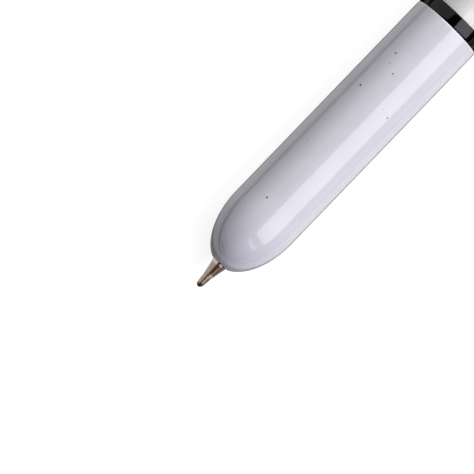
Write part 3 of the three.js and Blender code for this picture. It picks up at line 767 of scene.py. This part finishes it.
def metal_point(material):
    """The refill's point: a rolled lip round the ball, a nozzle, a cone and a bright collar."""
    def at(distance):
        return POINT_FRONT + distance

    lip_angle = math.acos((BALL_RADIUS - BALL_SHOWS) / SOCKET_RADIUS)
    duct_angle = math.pi - math.asin(DUCT_RADIUS / SOCKET_RADIUS)
    socket = []
    for i in range(SOCKET_STEPS + 1):
        angle = duct_angle + (lip_angle - duct_angle) * i / SOCKET_STEPS
        socket.append((at(BALL_RADIUS - SOCKET_RADIUS * math.cos(angle)),
                       SOCKET_RADIUS * math.sin(angle)))
    profile = rounded([
        *socket,
        (at(BALL_SHOWS), LIP_RADIUS),
        (at(NOZZLE_START), NOZZLE_RADIUS, NOZZLE_ROUNDING),
        (at(NECK_START), NECK_RADIUS, NECK_ROUNDING),
        (at(CONE_END), CONE_END_RADIUS),
        (at(CONE_END + COLLAR_SLOPE), COLLAR_FRONT_RADIUS, COLLAR_ROUNDING),
        (at(COLLAR_END), SHANK_RADIUS, COLLAR_ROUNDING),
        (at(COLLAR_END + COLLAR_SLOPE), GROOVE_RADIUS),
        (at(COLLAR_END + GROOVE_LENGTH), GROOVE_RADIUS),
        (at(COLLAR_END + GROOVE_LENGTH), SHANK_RADIUS),
        (at(SHOULDER), SHANK_RADIUS),
        (at(SHOULDER), REFILL_RADIUS, INNER_ROUNDING),
        (at(SHOULDER + SHOULDER_LENGTH), REFILL_RADIUS, INNER_ROUNDING),
        (at(SHOULDER + SHOULDER_LENGTH), BACK_RADIUS),
        (POINT_BACK, BACK_RADIUS, INNER_ROUNDING),
        (POINT_BACK, INK_BORE_RADIUS),
        (at(INK_BORE_START), INK_BORE_RADIUS),
        (at(INK_BORE_START), DUCT_RADIUS),
        socket[0],
    ])
    piece = turned("refill_tip_turned", profile, POINT_SIDES)
    fitted(piece, "refill_tip", "refill", material)


def tip_ball(material):
    """The writing ball, rounded up from a coarse ball by subdivision and a cast."""
    deselect_all()
    bpy.ops.mesh.primitive_ico_sphere_add(subdivisions=BALL_DIVISIONS, radius=BALL_RADIUS)
    piece = bpy.context.object
    piece.name = piece.data.name = "tip_ball_polished"
    smoother = piece.modifiers.new("Smoother", "SUBSURF")
    smoother.levels = smoother.render_levels = BALL_SMOOTHING
    rounder = piece.modifiers.new("Rounder", "CAST")
    rounder.factor = 1
    rounder.size = BALL_RADIUS
    rounder.use_radius_as_size = False
    for modifier in (smoother, rounder):
        bpy.ops.object.modifier_apply(modifier=modifier.name)
    piece.location = (NOSE_RIM + POINT_FRONT + BALL_RADIUS, 0, AXIS_HEIGHT)
    bpy.ops.object.transform_apply(location=True, rotation=True, scale=True)
    bpy.ops.object.shade_smooth()
    fitted(piece, "tip_ball", "ball", material)


def pushing_springs(material):
    """The two springs that push the pen open and the button out. Each keeps its back end on the
    body that moves."""
    wanted = [
        ("main_spring", MAIN_SPRING, "back_half", "shut_slide"),
        ("button_spring", BUTTON_SPRING, "button", "button_press"),
    ]
    for node, spring, body, joint in wanted:
        piece = wound(node + "_wire", node, spring)
        fitted(piece, node, body, material)
        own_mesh(piece)


def return_spring(material):
    """The small spring in the nose, between the nose and the refill's shoulder, fixed in place at
    one length.
    """
    node = "return_spring"
    piece = wound(node + "_wire", node, RETURN_SPRING)
    painted(piece, material)
    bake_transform(piece)
    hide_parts(node)


def carried_over(finishes):
    """Finishes for the CAD nodes that stay."""
    nodes = {
        "soft_ring": "soft_black",
        "guide_sleeve": "grey_plastic",
        "sleeve_cap": "grey_plastic",
        "thrust_washer": "spring_steel",
        "cam_sleeve": "brass",
        "refill_tube": "satin_silver",
        "refill_plug": "grey_plastic",
        "refill_carrier": "grey_plastic",
        "carrier_pin": "spring_steel",
        "drive_ring": "grey_plastic",
        "drive_pin": "spring_steel",
        "spring_seat": "grey_plastic",
        "latch_tube": "spring_steel",
    }
    for node, finish in nodes.items():
        painted(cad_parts[node], finishes[finish])


# Studio


def area_lamp(name, place, turn, length, width, radiance):
    bpy.ops.object.light_add(type="AREA", location=place, rotation=turn)
    lamp = bpy.context.object
    lamp.name = name
    lamp.data.shape = "RECTANGLE"
    lamp.data.size = length
    lamp.data.size_y = width
    lamp.data.energy = radiance * math.pi * length * width
    lamp.visible_camera = False


def softbox(name, across, along, distance, radiance):
    """A flat lamp whose long sides run along the pen."""
    middle = math.radians(sum(across) / 2)
    half_width = distance * math.tan(math.radians(across[1] - across[0]) / 2)
    near, far = (distance * math.tan(math.radians(angle)) for angle in along)
    toward = Vector((0, -math.sin(middle), math.cos(middle)))
    place = LAMP_AIM + toward * distance + Vector(((near + far) / 2, 0, 0))
    area_lamp(name, place, (middle, 0, 0), far - near, 2 * half_width, radiance)


def end_softbox(name, across, along, distance, width, radiance):
    """A square lamp that faces the pen from beyond its button."""
    across, along = math.radians(across), math.radians(along)
    toward = Vector((math.sin(along), -math.cos(along) * math.sin(across),
                     math.cos(along) * math.cos(across)))
    turn = toward.to_track_quat("Z", "Y").to_euler()
    area_lamp(name, LAMP_AIM + toward * distance, turn, width, width, radiance)


def rays_that_see_the_backdrop(tree):
    """1 for camera, glossy and transmission rays."""
    path = add_node(tree, "ShaderNodeLightPath")
    total = path.outputs["Is Camera Ray"]
    for kind in ("Is Glossy Ray", "Is Transmission Ray"):
        larger = add_node(tree, "ShaderNodeMath", {
            0: total, 1: path.outputs[kind]}, operation="MAXIMUM")
        total = larger.outputs["Value"]
    return total


def studio_world():
    """Even dim light. Camera, glossy and transmission rays see a backdrop instead: white round
    the horizon, and above it a pale wall on one side of the pen and a dark ceiling elsewhere."""
    world = bpy.context.scene.world or bpy.data.worlds.new("Studio")
    bpy.context.scene.world = world
    world.use_nodes = True
    tree = world.node_tree
    tree.nodes.clear()
    direction = add_node(tree, "ShaderNodeTexCoord")
    split = add_node(tree, "ShaderNodeSeparateXYZ", {"Vector": direction.outputs["Generated"]})
    side = add_node(tree, "ShaderNodeMath", {
        0: split.outputs["X"], 1: WALL_SLANT, 2: split.outputs["Y"]}, operation="MULTIPLY_ADD")
    fade = add_node(tree, "ShaderNodeMapRange", {
        "Value": split.outputs["Z"], "From Max": WALL_HEIGHT,
        "To Min": WALL_FOOT, "To Max": WALL})
    wall = add_node(tree, "ShaderNodeMapRange", {
        "Value": side.outputs["Value"],
        "From Min": WALL_START, "From Max": WALL_START + CEILING_START,
        "To Min": CEILING, "To Max": fade.outputs["Result"]})
    ceiling = add_node(tree, "ShaderNodeMapRange", {
        "Value": split.outputs["Z"],
        "From Min": CEILING_START / 2, "From Max": CEILING_START,
        "To Min": BACKDROP, "To Max": wall.outputs["Result"]})
    backdrop = add_node(tree, "ShaderNodeBackground", {"Color": ceiling.outputs["Result"]})
    ambient = add_node(tree, "ShaderNodeBackground", {"Color": (AMBIENT, AMBIENT, AMBIENT, 1)})
    mix = add_node(tree, "ShaderNodeMixShader", {
        "Fac": rays_that_see_the_backdrop(tree),
        1: ambient.outputs["Background"], 2: backdrop.outputs["Background"]})
    add_node(tree, "ShaderNodeOutputWorld", {"Surface": mix.outputs["Shader"]})


def bare_material(name):
    """A material without nodes yet."""
    material = bpy.data.materials.new(name)
    material.use_nodes = True
    material.node_tree.nodes.clear()
    return material


def white_table():
    """A plain matt white floor. Camera, glossy and transmission rays see it a little lifted, so
    that only the pen's shadow is darker than white."""
    deselect_all()
    bpy.ops.mesh.primitive_plane_add(size=FLOOR_SIZE)
    floor = bpy.context.object
    floor.name = "floor"
    material = bare_material("white_table")
    tree = material.node_tree
    matt = add_node(tree, "ShaderNodeBsdfDiffuse", {"Color": FLOOR_COLOUR})
    lift = add_node(tree, "ShaderNodeEmission", {"Strength": FLOOR_LIFT})
    unlit = add_node(tree, "ShaderNodeEmission", {"Strength": 0})
    seen = add_node(tree, "ShaderNodeMixShader", {
        "Fac": rays_that_see_the_backdrop(tree),
        1: unlit.outputs["Emission"], 2: lift.outputs["Emission"]})
    both = add_node(tree, "ShaderNodeAddShader", {
        0: matt.outputs["BSDF"], 1: seen.outputs["Shader"]})
    add_node(tree, "ShaderNodeOutputMaterial", {"Surface": both.outputs["Shader"]})
    floor.data.materials.append(material)


def dark_card(name, side, near, far, radiance):
    """A card that lies beside the pen and that only its gloss shows, as a painted dark reflection.
    The wide cards darken the barrel's sides, and the narrow strips, a painted reflection of the
    pen's shadow on the floor, its very edges."""
    deselect_all()
    bpy.ops.mesh.primitive_plane_add(
        size=1, location=(LAMP_AIM.x, side * (near + far) / 2, CARD_HEIGHT))
    card = bpy.context.object
    card.name = name
    bpy.ops.transform.resize(value=(CARD_LENGTH, far - near, 1))
    bpy.ops.object.transform_apply(location=True, rotation=True, scale=True)
    material = bare_material(name)
    tree = material.node_tree
    grey = add_node(tree, "ShaderNodeEmission", {"Strength": radiance})
    add_node(tree, "ShaderNodeOutputMaterial", {"Surface": grey.outputs["Emission"]})
    card.data.materials.append(material)
    card.visible_camera = False
    card.visible_diffuse = False
    card.visible_shadow = False


def camera():
    """Nearly straight down on the pen, with the pen rising to the right of the picture."""
    forward = Vector((math.sin(CAMERA_TILT), 0, -math.cos(CAMERA_TILT)))
    along = Vector((math.cos(CAMERA_TILT), 0, math.sin(CAMERA_TILT)))
    across = Vector((0, -1, 0))
    right = along * math.cos(PEN_SLOPE) + across * math.sin(PEN_SLOPE)
    up = along * math.sin(PEN_SLOPE) - across * math.cos(PEN_SLOPE)
    turn = Matrix((right, up, -forward)).transposed()
    bpy.ops.object.camera_add(
        location=VIEW_CENTRE - forward * CAMERA_DISTANCE, rotation=turn.to_euler())
    view = bpy.context.object
    view.data.lens = LENS
    view.data.sensor_width = SENSOR_WIDTH
    view.data.clip_end = CLIP_END
    bpy.context.scene.camera = view


camera()
softbox("key_softbox", **KEY_SOFTBOX)
softbox("back_softbox", **BACK_SOFTBOX)
softbox("front_card", **FRONT_CARD)
end_softbox("side_softbox", **SIDE_SOFTBOX)
studio_world()
white_table()
for card_name, card in DARK_CARDS.items():
    dark_card(card_name, **card)

front_lacquer = lacquer("white_lacquer", specks=LACQUER_SPECKS)
back_lacquer = lacquer("white_lacquer_back", sprinkle=True)
finishes = {name: plain_finish(name) for name in PLAIN_FINISHES}
front_barrel(front_lacquer)
centre_ring(finishes["black_gloss"])
slider_tube(finishes["satin_silver"])
rear_barrel(back_lacquer)
push_button(back_lacquer)
metal_point(nickel_silver())
tip_ball(carbide())
pushing_springs(finishes["spring_steel"])
return_spring(finishes["spring_steel"])
carried_over(finishes)

bpy.context.scene.view_settings.view_transform = "Standard"

deselect_all()
